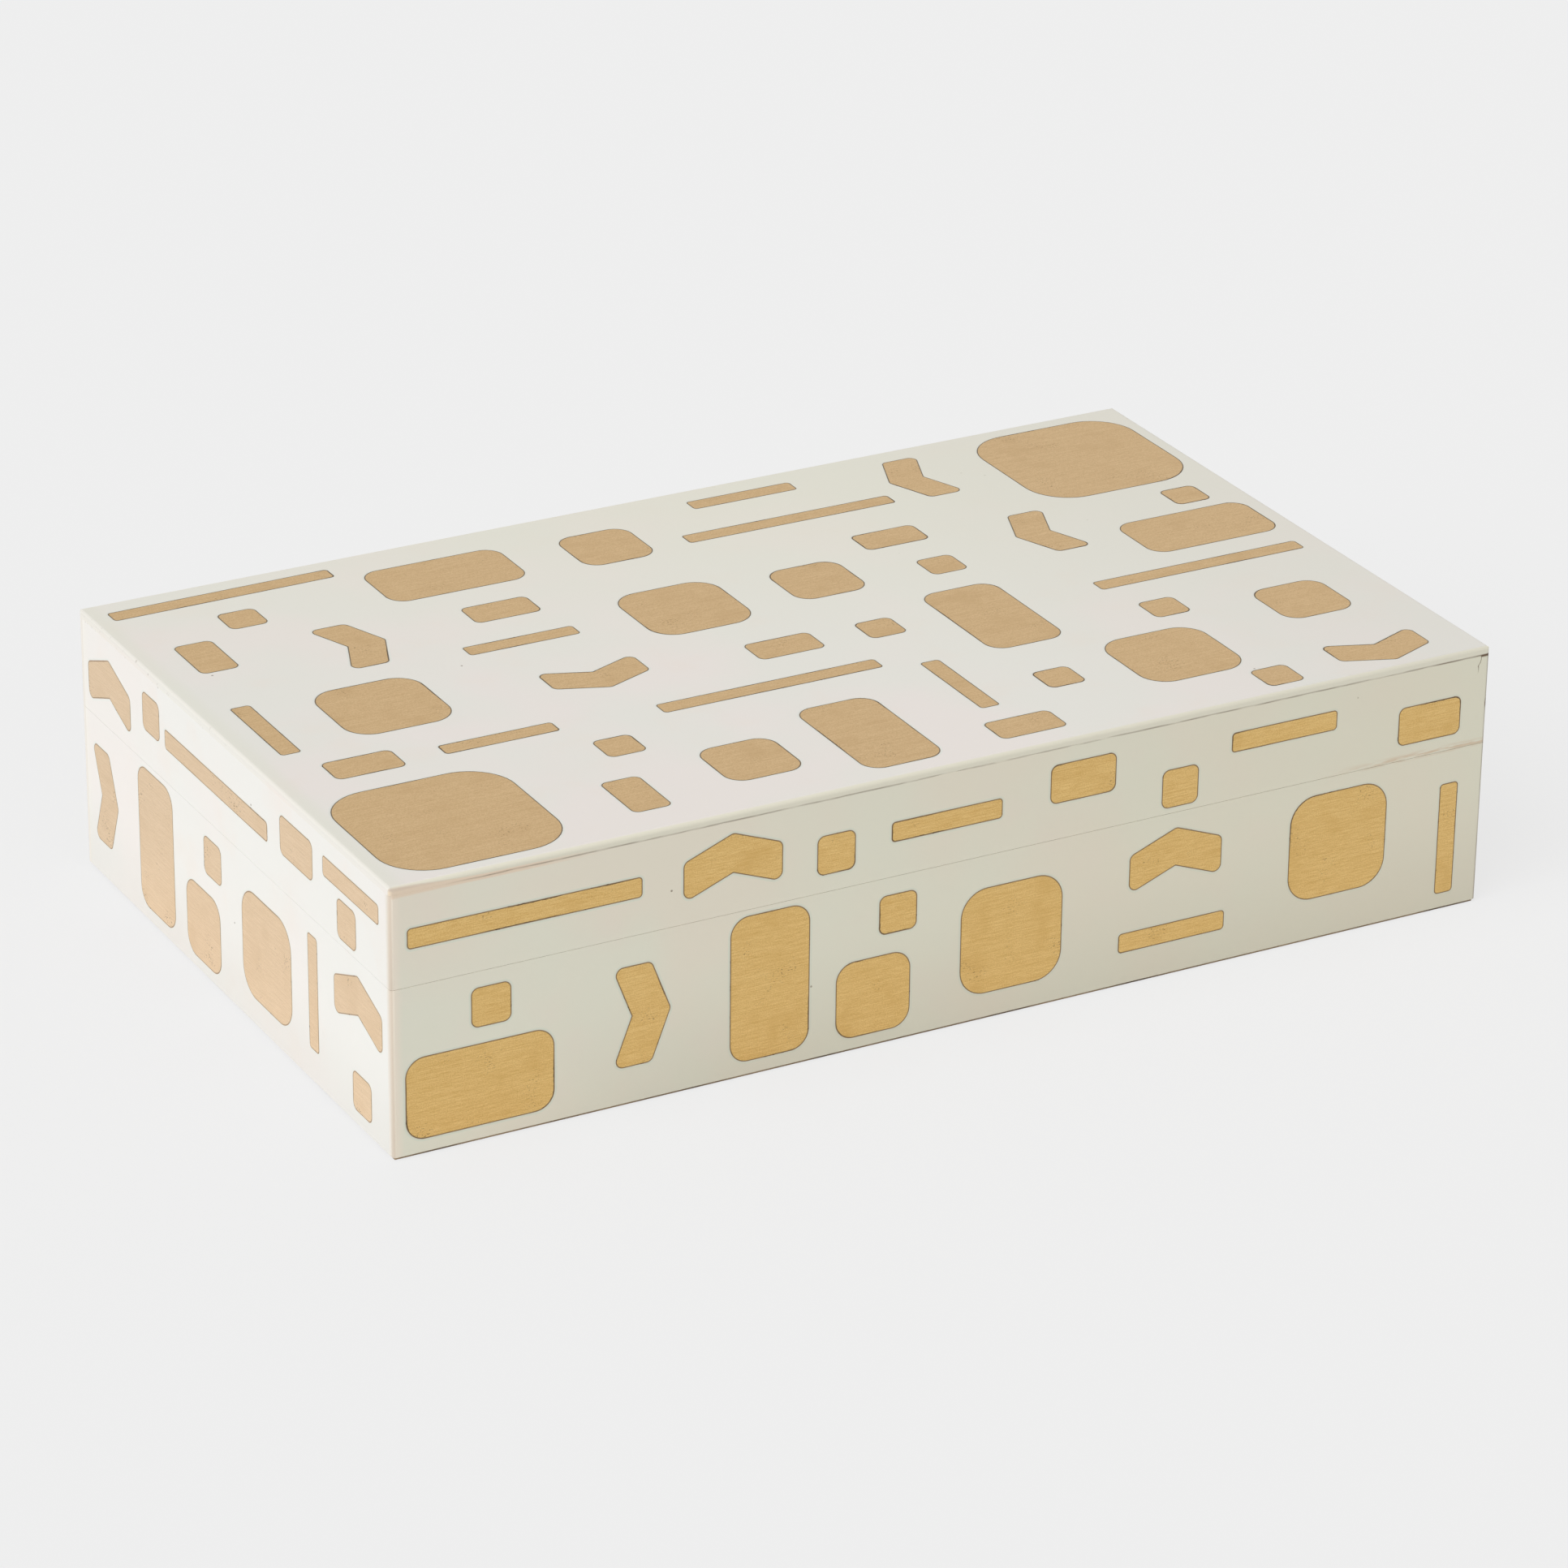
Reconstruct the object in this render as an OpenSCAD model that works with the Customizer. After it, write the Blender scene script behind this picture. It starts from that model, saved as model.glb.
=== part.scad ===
// Hinged wooden box, veneered with cast-resin sheets that are inlaid with brass pieces.
// Millimetres. The origin is the centre of the footprint, on the surface the box stands on.
// +X runs right along the front, +Y to the back, +Z up. The lid is drawn shut.

/* [Box] */
// Length of the box from its left end to its right end
box_w = 300; // [270:1:360]
// Depth of the box from its front to its back
box_d = 180; // [160:1:240]
// Height of the base from the table to its rim, felt included
base_h = 44; // [42:0.5:60]
// Height of the lid from its rim to its top face
lid_h = 25.8; // [22:0.2:40]
// Gap between the two rims
seam_gap = 0.2; // [0.1:0.05:0.4]
// Radius sanded on the long outer edges
edge_round = 1; // [0.4:0.1:1.8]

/* [Wooden core] */
// Thickness of the mitred walls
wall_t = 8; // [7:0.5:12]
// Thickness of the bottom board
bottom_t = 6; // [4:0.5:9]
// Thickness of the board in the lid
lid_board_t = 6; // [4:0.5:9]

/* [Resin sheets] */
// Thickness of the resin sheets, and of the brass let into them
sheet_t = 2; // [1.5:0.1:3]
// Width of the glue line between a brass piece and its pocket
glue_gap = 0.3; // [0.1:0.05:0.4]

/* [Brass pieces] */
// Side of the small square
small_square = 10; // [8:0.5:11]
// Side of the medium square
medium_square = 20; // [17:0.5:22]
// Side of the large square
large_square = 28; // [24:0.5:30]
// Side of the corner square
corner_square = 46; // [40:0.5:48]
// Length of the small oblong
small_oblong_w = 18; // [15:0.5:20]
// Width of the small oblong
small_oblong_h = 10; // [8:0.5:11]
// Length of the large oblong
large_oblong_w = 38; // [32:0.5:39]
// Width of the large oblong
large_oblong_h = 21; // [18:0.5:23]
// Length of the short bar
short_bar = 30; // [26:0.5:32]
// Length of the long bar
long_bar = 60; // [52:0.5:63]
// Width of both bars
bar_h = 5; // [4:0.5:6]
// Width of the chevron across its two arms
chevron_w = 26; // [22:0.5:28]
// Breadth of a chevron arm, along the way it points
chevron_arm = 10; // [8:0.5:12]
// Drop of a chevron arm from its point to its end
chevron_drop = 5; // [3:0.5:6]
// Corner radius of the bars
bar_round = 0.9; // [0.5:0.1:1.5]
// Corner radius of the small pieces and chevrons
small_round = 1.8; // [1:0.1:2.5]
// Corner radius of the medium square and the large oblong
medium_round = 4.8; // [3:0.1:6]
// Corner radius of the large square
large_round = 7; // [5:0.1:9]
// Corner radius of the corner square
corner_round = 12; // [8:0.5:15]

/* [Stop hinges] */
// Length of a hinge
hinge_len = 30; // [24:1:36]
// Distance of each hinge's middle from its end of the box
hinge_inset = 60; // [40:1:80]
// Thickness of a leaf
leaf_t = 2; // [1.6:0.1:2.4]
// Width of a leaf, from its inner edge to its stop edge
leaf_w = 7; // [5.5:0.1:7]
// Radius of the leaf's inner corners
leaf_round = 1.5; // [1:0.1:2.5]
// Radius of the barrel
barrel_r = 2.2; // [2.1:0.05:2.6]
// Length of the lid's knuckle, between the two of the base
mid_knuckle = 10; // [8:0.5:12]
// Radius of the pin
pin_r = 1; // [0.8:0.05:1.2]
// How far the pin stands out at each end
pin_proud = 0.4; // [0.2:0.1:1]
// Angle at which the heels stop the lid
hinge_stop = 95; // [91:1:100]
// How far a heel reaches behind the pin
heel_w = 1.9; // [1.6:0.1:2]

/* [Hinge screws] */
// Radius of the shank
shank_r = 1.1; // [0.8:0.05:1.2]
// Radius of the countersunk head
head_r = 2; // [1.7:0.05:2.2]
// Length of a screw
screw_len = 9; // [7:0.5:12]
// Length of its point
screw_tip = 1.6; // [1:0.1:2.5]
// Distance between neighbouring screws
screw_pitch = 10; // [8:0.5:11]
// Width and depth of the slot
slot = 0.5; // [0.3:0.05:0.6]

/* [Felt and lining] */
// Thickness of the felt under the base
felt_t = 0.8; // [0.5:0.1:1.5]
// How far the felt stays inside the outer edges
felt_inset = 0.6; // [0:0.1:3]
// Thickness of the lining pads inside
lining_t = 1; // [0.5:0.1:2]
// Gap between a lining pad and the walls
lining_gap = 0.3; // [0.1:0.1:1]

/* [Hidden] */
$fn = 48;
over = 1; // how far a cutter runs past what it cuts
knuckle_gap = 0.3; // between a knuckle and the parts it turns past
stop_gap = 0.05; // left between heel and leaf at the stop
mortise_gap = 0.1; // round a leaf in its mortise
screw_gap = 0.05; // round a screw
pin_fit = 0.02; // round the pin where the base's knuckles hold it
pin_clearance = 0.05; // round the pin where the lid's knuckle turns on it
barrel_gap = 0.15; // between the barrel and the back of the box

box_h = base_h + seam_gap + lid_h;
lid_rim = base_h + seam_gap;
lid_sheet_h = lid_h - sheet_t;
base_sheet_h = base_h - felt_t;
core_w = box_w - 2 * sheet_t;
core_d = box_d - 2 * sheet_t;
room_w = core_w - 2 * wall_t;
room_d = core_d - 2 * wall_t;

hinge_x = box_w / 2 - hinge_inset;
hinge_y = box_d / 2 + barrel_gap + barrel_r;
hinge_z = base_h + seam_gap / 2;
stop_reach = barrel_r + knuckle_gap; // from the pin's axis to a leaf's stop edge
heel_reach = stop_reach - stop_gap;
leaf_top = seam_gap / 2; // from the pin's axis to the face of a leaf
screw_y = -(stop_reach + leaf_w / 2);

SIDES = ["front", "right", "back", "left"];
ENDS = [["left", -1], ["right", 1]];

// A piece of brass is [width, height, corner radius, drop]; only a chevron has a drop.
SMALL_SQUARE = [small_square, small_square, small_round, 0];
MEDIUM_SQUARE = [medium_square, medium_square, medium_round, 0];
LARGE_SQUARE = [large_square, large_square, large_round, 0];
CORNER_SQUARE = [corner_square, corner_square, corner_round, 0];
SMALL_OBLONG = [small_oblong_w, small_oblong_h, small_round, 0];
LARGE_OBLONG = [large_oblong_w, large_oblong_h, medium_round, 0];
SHORT_BAR = [short_bar, bar_h, bar_round, 0];
LONG_BAR = [long_bar, bar_h, bar_round, 0];
CHEVRON = [chevron_w, chevron_arm + chevron_drop, small_round, chevron_drop];

// How a chevron points, and how any other piece is turned.
UP = 0;
LEFT = 90;
DOWN = 180;
RIGHT = 270;
UPRIGHT = 90;

// A layout is the size of the sheet it is drawn on, and its rows. The rows spread with the real
// sheet. Each is a piece, its middle from the lower left corner, and its turn.
TOP_LAYOUT = [[300, 180], [
    [LONG_BAR, 35, 171.5, 0.8],
    [SMALL_SQUARE, 33.5, 155.5, 0],
    [SMALL_OBLONG, 16, 138, UPRIGHT],
    [CHEVRON, 52, 128, RIGHT],
    [LARGE_OBLONG, 90, 157.5, 0],
    [MEDIUM_SQUARE, 134.5, 155.5, 0],
    [SMALL_OBLONG, 93, 131.5, 0],
    [LARGE_SQUARE, 134, 111.5, 0],
    [SHORT_BAR, 89, 112, 0],
    [LONG_BAR, 185, 150.5, 0],
    [SHORT_BAR, 181.5, 170, 0],
    [CHEVRON, 227.5, 160, LEFT],
    [CORNER_SQUARE, 273, 152, 0],
    [SMALL_OBLONG, 202, 128, 0],
    [MEDIUM_SQUARE, 172, 112, 0],
    [SMALL_SQUARE, 205, 106.5, 0],
    [CHEVRON, 238.5, 113.5, LEFT],
    [SMALL_SQUARE, 284.5, 118, 0],
    [LARGE_OBLONG, 276, 98, 0],
    [LONG_BAR, 263, 76.5, 0],
    [SHORT_BAR, 11, 92, UPRIGHT],
    [LARGE_SQUARE, 42, 92, 0],
    [CHEVRON, 96, 84.5, DOWN],
    [SMALL_OBLONG, 145, 79.5, 0],
    [SMALL_SQUARE, 171.5, 78.5, 0],
    [LARGE_OBLONG, 200, 72.5, UPRIGHT],
    [SMALL_OBLONG, 23.5, 63.5, 0],
    [SHORT_BAR, 58.5, 62.5, 0],
    [LONG_BAR, 130.5, 60, 0],
    [SMALL_SQUARE, 241, 57.5, 0],
    [MEDIUM_SQUARE, 274.5, 46, 0],
    [CORNER_SQUARE, 27.5, 27, 0],
    [SMALL_SQUARE, 82, 45.5, 0],
    [SMALL_OBLONG, 73, 19.5, UPRIGHT],
    [MEDIUM_SQUARE, 106, 24.5, 0],
    [LARGE_OBLONG, 138.5, 25, UPRIGHT],
    [SHORT_BAR, 172, 40, UPRIGHT],
    [SMALL_SQUARE, 195.5, 32.5, 0],
    [LARGE_SQUARE, 227.5, 31.5, 0],
    [SMALL_OBLONG, 174, 12, 0],
    [SMALL_SQUARE, 243.5, 9, 0],
    [CHEVRON, 275, 11.5, DOWN],
]];
LID_FRONT_LAYOUT = [[300, 23.8], [
    [LONG_BAR, 34.5, 12, 0],
    [CHEVRON, 88.5, 13, UP],
    [SMALL_SQUARE, 116, 9.5, 0],
    [SHORT_BAR, 146, 11.5, 0],
    [SMALL_OBLONG, 183.5, 14.5, 0],
    [SMALL_SQUARE, 211, 6.5, 0],
    [SHORT_BAR, 240.5, 15, 0],
    [SMALL_OBLONG, 283, 9, 0],
]];
BASE_FRONT_LAYOUT = [[300, 43.2], [
    [SMALL_SQUARE, 25.5, 34, 0],
    [LARGE_OBLONG, 22.5, 14, 0],
    [CHEVRON, 64.5, 22.5, RIGHT],
    [LARGE_OBLONG, 98.5, 22.5, UPRIGHT],
    [MEDIUM_SQUARE, 126.5, 13, 0],
    [SMALL_SQUARE, 133, 33.5, 0],
    [LARGE_SQUARE, 164.5, 20.5, 0],
    [CHEVRON, 210.5, 31.5, UP],
    [SHORT_BAR, 210, 11, 0],
    [LARGE_SQUARE, 257.5, 25, 0],
    [SHORT_BAR, 290, 19, UPRIGHT],
]];
LID_LEFT_LAYOUT = [[180, 23.8], [
    [CHEVRON, 18, 11, UP],
    [SMALL_SQUARE, 44, 14, 0],
    [LONG_BAR, 82.5, 11.5, 0],
    [SMALL_OBLONG, 129, 14.5, 0],
    [SHORT_BAR, 159, 16.5, 0],
    [SMALL_SQUARE, 156.5, 6.5, 0],
]];
BASE_LEFT_LAYOUT = [[180, 43.2], [
    [CHEVRON, 13.5, 22.5, RIGHT],
    [LARGE_OBLONG, 45, 22.5, UPRIGHT],
    [SMALL_SQUARE, 79.5, 33.5, 0],
    [MEDIUM_SQUARE, 73, 13, 0],
    [LARGE_SQUARE, 110.5, 21, 0],
    [SHORT_BAR, 137, 23.5, UPRIGHT],
    [CHEVRON, 162, 31.5, UP],
    [SMALL_SQUARE, 163.5, 8.5, 0],
]];
LID_BACK_LAYOUT = [[300, 23.8], [
    [SMALL_OBLONG, 17, 13, 0],
    [SHORT_BAR, 51, 15, 0],
    [SMALL_SQUARE, 80, 9, 0],
    [CHEVRON, 107, 12.5, UP],
    [LONG_BAR, 158, 13, 0],
    [SMALL_SQUARE, 199, 14, 0],
    [SMALL_OBLONG, 221, 10, 0],
    [CHEVRON, 252, 13, UP],
    [SMALL_SQUARE, 283, 11, 0],
]];
BASE_BACK_LAYOUT = [[300, 43.2], [
    [LARGE_SQUARE, 20, 20, 0],
    [SHORT_BAR, 44, 22, UPRIGHT],
    [LARGE_OBLONG, 75, 26, 0],
    [SHORT_BAR, 76, 8, 0],
    [CHEVRON, 106, 21, LEFT],
    [MEDIUM_SQUARE, 130, 27, 0],
    [SMALL_SQUARE, 133, 9, 0],
    [LARGE_SQUARE, 163, 20, 0],
    [LARGE_OBLONG, 196, 21.5, UPRIGHT],
    [SMALL_OBLONG, 222, 32, 0],
    [SMALL_SQUARE, 218, 12, 0],
    [SHORT_BAR, 244, 12, 0],
    [SMALL_SQUARE, 247, 29, 0],
    [LARGE_SQUARE, 278, 22, 0],
]];
LID_RIGHT_LAYOUT = [[180, 23.8], [
    [SMALL_OBLONG, 14, 13, 0],
    [SHORT_BAR, 43, 15, 0],
    [SMALL_SQUARE, 67, 8, 0],
    [CHEVRON, 90, 12.5, UP],
    [LONG_BAR, 145, 10, 0],
]];
BASE_RIGHT_LAYOUT = [[180, 43.2], [
    [MEDIUM_SQUARE, 16, 28, 0],
    [SMALL_OBLONG, 16, 9, 0],
    [CHEVRON, 42, 22, LEFT],
    [LARGE_OBLONG, 68, 21.5, UPRIGHT],
    [SMALL_SQUARE, 91, 31, 0],
    [SHORT_BAR, 98, 12, 0],
    [LARGE_SQUARE, 133, 21, 0],
    [CHEVRON, 163, 22, RIGHT],
]];

// ---- Faces of the box ----

function is_long(side) = side == "front" || side == "back";
function face_w(side) = is_long(side) ? box_w : box_d;
function face_out(side) = (is_long(side) ? box_d : box_w) / 2;

function base_layout(side) = side == "front" ? BASE_FRONT_LAYOUT : side == "right" ? BASE_RIGHT_LAYOUT
    : side == "back" ? BASE_BACK_LAYOUT : BASE_LEFT_LAYOUT;
function lid_layout(side) = side == "front" ? LID_FRONT_LAYOUT : side == "right" ? LID_RIGHT_LAYOUT
    : side == "back" ? LID_BACK_LAYOUT : LID_LEFT_LAYOUT;

// Turns what is drawn for the front so that it faces the given side.
module facing(side) {
    rotate([0, 0, 90 * search([side], SIDES)[0]]) children();
}

// Draws on a side: x from its left end, y up from height z, and z outwards from the core.
module on_side(side, z) {
    facing(side)
        translate([-face_w(side) / 2, -(face_out(side) - sheet_t), z])
            rotate([90, 0, 0]) children();
}

module on_top() {
    translate([-box_w / 2, -box_d / 2, box_h - sheet_t]) children();
}

// ---- Brass pieces and their pockets ----

module rounded_rect(w, h, r) {
    square([w - 2 * r, h], center = true);
    square([w, h - 2 * r], center = true);
    for (x = [-1, 1], y = [-1, 1])
        translate([x * (w / 2 - r), y * (h / 2 - r)]) circle(r);
}

// Points up. Its corners are rounded, but the notch between the arms stays sharp.
module chevron(piece, grow) {
    half_w = piece[0] / 2;
    half_h = piece[1] / 2;
    drop = piece[3];
    offset(r = piece[2] + grow)
        offset(r = -piece[2])
            polygon([
                [-half_w, -half_h],
                [0, drop - half_h],
                [half_w, -half_h],
                [half_w, half_h - drop],
                [0, half_h],
                [-half_w, half_h - drop],
            ]);
}

module outline(piece, grow = 0) {
    if (piece[3] > 0)
        chevron(piece, grow);
    else
        rounded_rect(piece[0] + 2 * grow, piece[1] + 2 * grow, piece[2] + grow);
}

// Half the room that a turned piece takes, across and up.
function half_across(piece, turn) = (abs(cos(turn)) * piece[0] + abs(sin(turn)) * piece[1]) / 2;
function half_up(piece, turn) = (abs(sin(turn)) * piece[0] + abs(cos(turn)) * piece[1]) / 2;

// Keeps a piece's share of the free room when the sheet is wider or narrower than drawn.
function spread(at, half, span, drawn) = half + (at - half) * (span - 2 * half) / (drawn - 2 * half);

module place(layout, sheet, grow = 0) {
    drawn = layout[0];
    for (row = layout[1]) {
        x = spread(row[1], half_across(row[0], row[3]), sheet[0], drawn[0]);
        y = spread(row[2], half_up(row[0], row[3]), sheet[1], drawn[1]);
        translate([x, y]) rotate(row[3]) outline(row[0], grow);
    }
}

// The strip that sanding takes off an edge that runs along Z at the origin.
module edge_waste(length) {
    linear_extrude(length)
        difference() {
            translate([-over, -over]) square(edge_round + over);
            translate([edge_round, edge_round]) circle(edge_round);
        }
}

// What is sanded off the standing corners and the edges of the top.
module sanded_edges() {
    for (side = SIDES)
        facing(side) translate([-face_w(side) / 2, -face_out(side), 0]) {
            translate([0, 0, -over]) edge_waste(box_h + 2 * over);
            translate([-over, 0, box_h])
                mirror([0, 0, 1]) rotate([90, 0, 90]) edge_waste(face_w(side) + 2 * over);
        }
}

// The front and back sheets run the full width and cover the ends of the side sheets.
module side_sheet(side, z, height, layout) {
    lap = is_long(side) ? 0 : sheet_t;
    difference() {
        on_side(side, z)
            linear_extrude(sheet_t)
                difference() {
                    translate([lap, 0]) square([face_w(side) - 2 * lap, height]);
                    place(layout, [face_w(side), height], glue_gap);
                }
        if (is_long(side)) sanded_edges();
        if (side == "back") hinge_mortises();
    }
}

module side_inlays(side, z, height, layout) {
    on_side(side, z)
        linear_extrude(sheet_t)
            place(layout, [face_w(side), height]);
}

// ---- Stop hinges, drawn about the pin: +Y behind the box, the base below, the lid above ----

module at_hinge(end) {
    translate([end * hinge_x, hinge_y, hinge_z]) children();
}

// A leaf from above: round corners inside the rim, square ones at the stop edge.
module leaf_plan(grow, behind) {
    width = hinge_len + 2 * grow;
    translate([0, screw_y]) {
        rounded_rect(width, leaf_w + 2 * grow, leaf_round + grow);
        translate([-width / 2, 0]) square([width, leaf_w / 2 + behind]);
    }
}

// The heel's flat lies square on the other leaf's stop edge when the lid is fully open.
function heel_top(y) = (heel_reach + y * cos(hinge_stop)) / sin(hinge_stop);

module knuckle(from, to, bore_r) {
    translate([from, 0, 0])
        rotate([90, 0, 90])
            linear_extrude(to - from)
                difference() {
                    union() {
                        circle(barrel_r);
                        translate([-stop_reach, -leaf_top - leaf_t]) square([stop_reach, leaf_t]);
                        polygon([[0, 0], [heel_w, 0], [heel_w, heel_top(heel_w)], [0, heel_top(0)]]);
                    }
                    circle(bore_r);
                }
}

module leaf_plate() {
    difference() {
        translate([0, 0, -leaf_top - leaf_t]) linear_extrude(leaf_t) leaf_plan(0, 0);
        at_screws() screw_form(screw_gap);
    }
}

module base_leaf() {
    leaf_plate();
    for (end = [0, 1])
        mirror([end, 0, 0])
            knuckle(mid_knuckle / 2 + knuckle_gap, hinge_len / 2, pin_r + pin_fit);
}

module lid_leaf() {
    mirror([0, 0, 1]) {
        leaf_plate();
        knuckle(-mid_knuckle / 2, mid_knuckle / 2, pin_r + pin_clearance);
    }
}

module pin() {
    half = hinge_len / 2 + pin_proud;
    bevel = pin_r / 4;
    rotate([0, 90, 0])
        rotate_extrude()
            polygon([
                [0, -half], [pin_r - bevel, -half], [pin_r, bevel - half],
                [pin_r, half - bevel], [pin_r - bevel, half], [0, half],
            ]);
}

module at_screws() {
    for (i = [-1, 0, 1])
        translate([i * screw_pitch, screw_y, -leaf_top]) children();
}

// Countersunk head, shank and point; grown, it is the hole that the screw sits in.
module screw_form(grow) {
    sink = head_r - shank_r;
    rotate_extrude()
        polygon([
            [0, grow], [head_r + grow, grow], [head_r + grow, 0], [shank_r + grow, -sink],
            [shank_r + grow, screw_tip - screw_len], [0, -screw_len - grow],
        ]);
}

module screw() {
    difference() {
        screw_form(0);
        translate([-head_r - over, -slot / 2, -slot]) cube([2 * (head_r + over), slot, slot + over]);
    }
}

// Both rims are cut for the leaves, right through the back sheets, and drilled for the screws.
module hinge_mortises() {
    for (end = ENDS)
        at_hinge(end[1])
            for (flip = [0, 1])
                mirror([0, 0, flip]) {
                    translate([0, 0, -leaf_top - leaf_t])
                        linear_extrude(leaf_t + leaf_top) leaf_plan(mortise_gap, stop_reach);
                    at_screws() screw_form(screw_gap);
                }
}

// ---- Wooden core ----

module mitred_wall(side, z, height) {
    half = face_w(side) / 2 - sheet_t;
    out = face_out(side) - sheet_t;
    difference() {
        facing(side)
            translate([0, 0, z])
                linear_extrude(height)
                    polygon([
                        [-half, -out], [half, -out],
                        [half - wall_t, wall_t - out], [wall_t - half, wall_t - out],
                    ]);
        if (side == "back") hinge_mortises();
    }
}

module board(w, d, z, thickness) {
    translate([-w / 2, -d / 2, z]) cube([w, d, thickness]);
}

// ---- Sub-parts of the base ----

module base_felt() {
    color("#2b2421")
        board(box_w - 2 * felt_inset, box_d - 2 * felt_inset, 0, felt_t);
}

module base_bottom_board() {
    color("#8f6038") board(room_w, room_d, felt_t, bottom_t);
}

module base_lining() {
    color("#5b1f2a")
        board(room_w - 2 * lining_gap, room_d - 2 * lining_gap, felt_t + bottom_t, lining_t);
}

module base_wall(side) {
    color("#8f6038") mitred_wall(side, felt_t, base_sheet_h);
}

module base_sheet(side) {
    color("#e3e1d4") side_sheet(side, felt_t, base_sheet_h, base_layout(side));
}

module base_inlays(side) {
    color("#c9a670") side_inlays(side, felt_t, base_sheet_h, base_layout(side));
}

// ---- Sub-parts of the lid ----

module lid_top_board() {
    color("#8f6038") board(room_w, room_d, box_h - sheet_t - lid_board_t, lid_board_t);
}

module lid_lining() {
    color("#5b1f2a")
        board(room_w - 2 * lining_gap, room_d - 2 * lining_gap,
              box_h - sheet_t - lid_board_t - lining_t, lining_t);
}

module lid_wall(side) {
    color("#8f6038") mitred_wall(side, lid_rim, lid_sheet_h);
}

module lid_sheet(side) {
    color("#e3e1d4") side_sheet(side, lid_rim, lid_sheet_h, lid_layout(side));
}

module lid_inlays(side) {
    color("#c9a670") side_inlays(side, lid_rim, lid_sheet_h, lid_layout(side));
}

module lid_top_sheet() {
    color("#e3e1d4")
        difference() {
            on_top()
                linear_extrude(sheet_t)
                    difference() {
                        square([box_w, box_d]);
                        place(TOP_LAYOUT, [box_w, box_d], glue_gap);
                    }
            sanded_edges();
        }
}

module lid_top_inlays() {
    color("#c9a670")
        on_top() linear_extrude(sheet_t) place(TOP_LAYOUT, [box_w, box_d]);
}

// ---- Sub-parts of the hinges ----

module hinge_base_leaf(end) {
    color("#c99b4a") at_hinge(end) base_leaf();
}

module hinge_lid_leaf(end) {
    color("#c99b4a") at_hinge(end) lid_leaf();
}

module hinge_pin(end) {
    color("#a8803a") at_hinge(end) pin();
}

module hinge_base_screws(end) {
    color("#b58d45") at_hinge(end) at_screws() screw();
}

module hinge_lid_screws(end) {
    color("#b58d45") at_hinge(end) mirror([0, 0, 1]) at_screws() screw();
}

base_felt();
base_bottom_board();
base_lining();
for (side = SIDES) {
    base_wall(side);
    base_sheet(side);
    base_inlays(side);
}
lid_top_board();
lid_lining();
lid_top_sheet();
lid_top_inlays();
for (side = SIDES) {
    lid_wall(side);
    lid_sheet(side);
    lid_inlays(side);
}
for (end = ENDS) {
    hinge_base_leaf(end[1]);
    hinge_lid_leaf(end[1]);
    hinge_pin(end[1]);
    hinge_base_screws(end[1]);
    hinge_lid_screws(end[1]);
}
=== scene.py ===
# %% [markdown]
# # An inlaid box of wood, resin and brass
# The box is a wooden core with thin sheets of ivory resin glued over every outer face. Brass
# squares, oblongs, bars and chevrons are let into the sheets, and the whole is sanded flush and
# polished. The CAD model already holds every piece at its true size and place, so it is loaded
# first as a frame that nothing here moves. All that follows dresses that frame: softer edges, paste
# in the pockets, cloth, and finishes.

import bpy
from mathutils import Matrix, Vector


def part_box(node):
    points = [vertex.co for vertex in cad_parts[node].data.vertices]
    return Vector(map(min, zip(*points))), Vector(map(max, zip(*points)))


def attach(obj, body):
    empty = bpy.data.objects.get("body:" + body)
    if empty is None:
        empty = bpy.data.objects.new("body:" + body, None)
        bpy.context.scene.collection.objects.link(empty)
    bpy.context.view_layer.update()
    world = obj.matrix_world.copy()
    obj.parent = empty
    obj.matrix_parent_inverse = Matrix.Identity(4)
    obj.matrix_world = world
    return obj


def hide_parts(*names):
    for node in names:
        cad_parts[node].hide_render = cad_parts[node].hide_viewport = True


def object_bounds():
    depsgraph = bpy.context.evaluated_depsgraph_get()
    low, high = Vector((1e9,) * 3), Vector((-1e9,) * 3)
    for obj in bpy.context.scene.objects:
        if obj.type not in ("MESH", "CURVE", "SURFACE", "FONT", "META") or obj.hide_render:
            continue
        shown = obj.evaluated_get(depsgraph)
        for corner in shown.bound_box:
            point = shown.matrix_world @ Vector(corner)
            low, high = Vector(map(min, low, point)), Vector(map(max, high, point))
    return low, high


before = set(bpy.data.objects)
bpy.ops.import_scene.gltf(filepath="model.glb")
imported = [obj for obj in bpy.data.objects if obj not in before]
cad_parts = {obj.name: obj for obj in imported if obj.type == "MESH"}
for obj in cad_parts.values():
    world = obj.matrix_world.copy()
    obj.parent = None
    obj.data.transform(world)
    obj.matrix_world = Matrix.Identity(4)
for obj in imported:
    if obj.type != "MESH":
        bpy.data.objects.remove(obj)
cad_box = [list(corner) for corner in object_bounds()]

import math

import bmesh
import bpy
from mathutils import Matrix, Vector, kdtree

# %% [markdown]
# ## Working on a copy of a solid
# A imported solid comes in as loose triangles. A copy of it becomes easy to work on once its doubled
# points are welded and its level triangles are dissolved into whole faces: then every edge that is
# left is an edge of the real piece. Starting from the copy, and not from a fresh block, keeps each
# piece exactly where the frame has it, down to the pocket that each brass piece sits in.

# %% Weld a copy of a solid
MM = 0.001
WELD = 0.002 * MM
PLANE_STEP = 0.01 * MM
LEVEL = math.radians(0.3)
CORNER = math.radians(35)


def welded(node):
    """A copy of a CAD solid with its triangles joined and its flat faces whole."""
    shell = bmesh.new()
    shell.from_mesh(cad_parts[node].data)
    shell.verts.layers.float.new("rim")
    bmesh.ops.remove_doubles(shell, verts=shell.verts, dist=WELD)
    bmesh.ops.dissolve_limit(shell, angle_limit=LEVEL, verts=shell.verts, edges=shell.edges)
    return shell


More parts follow.
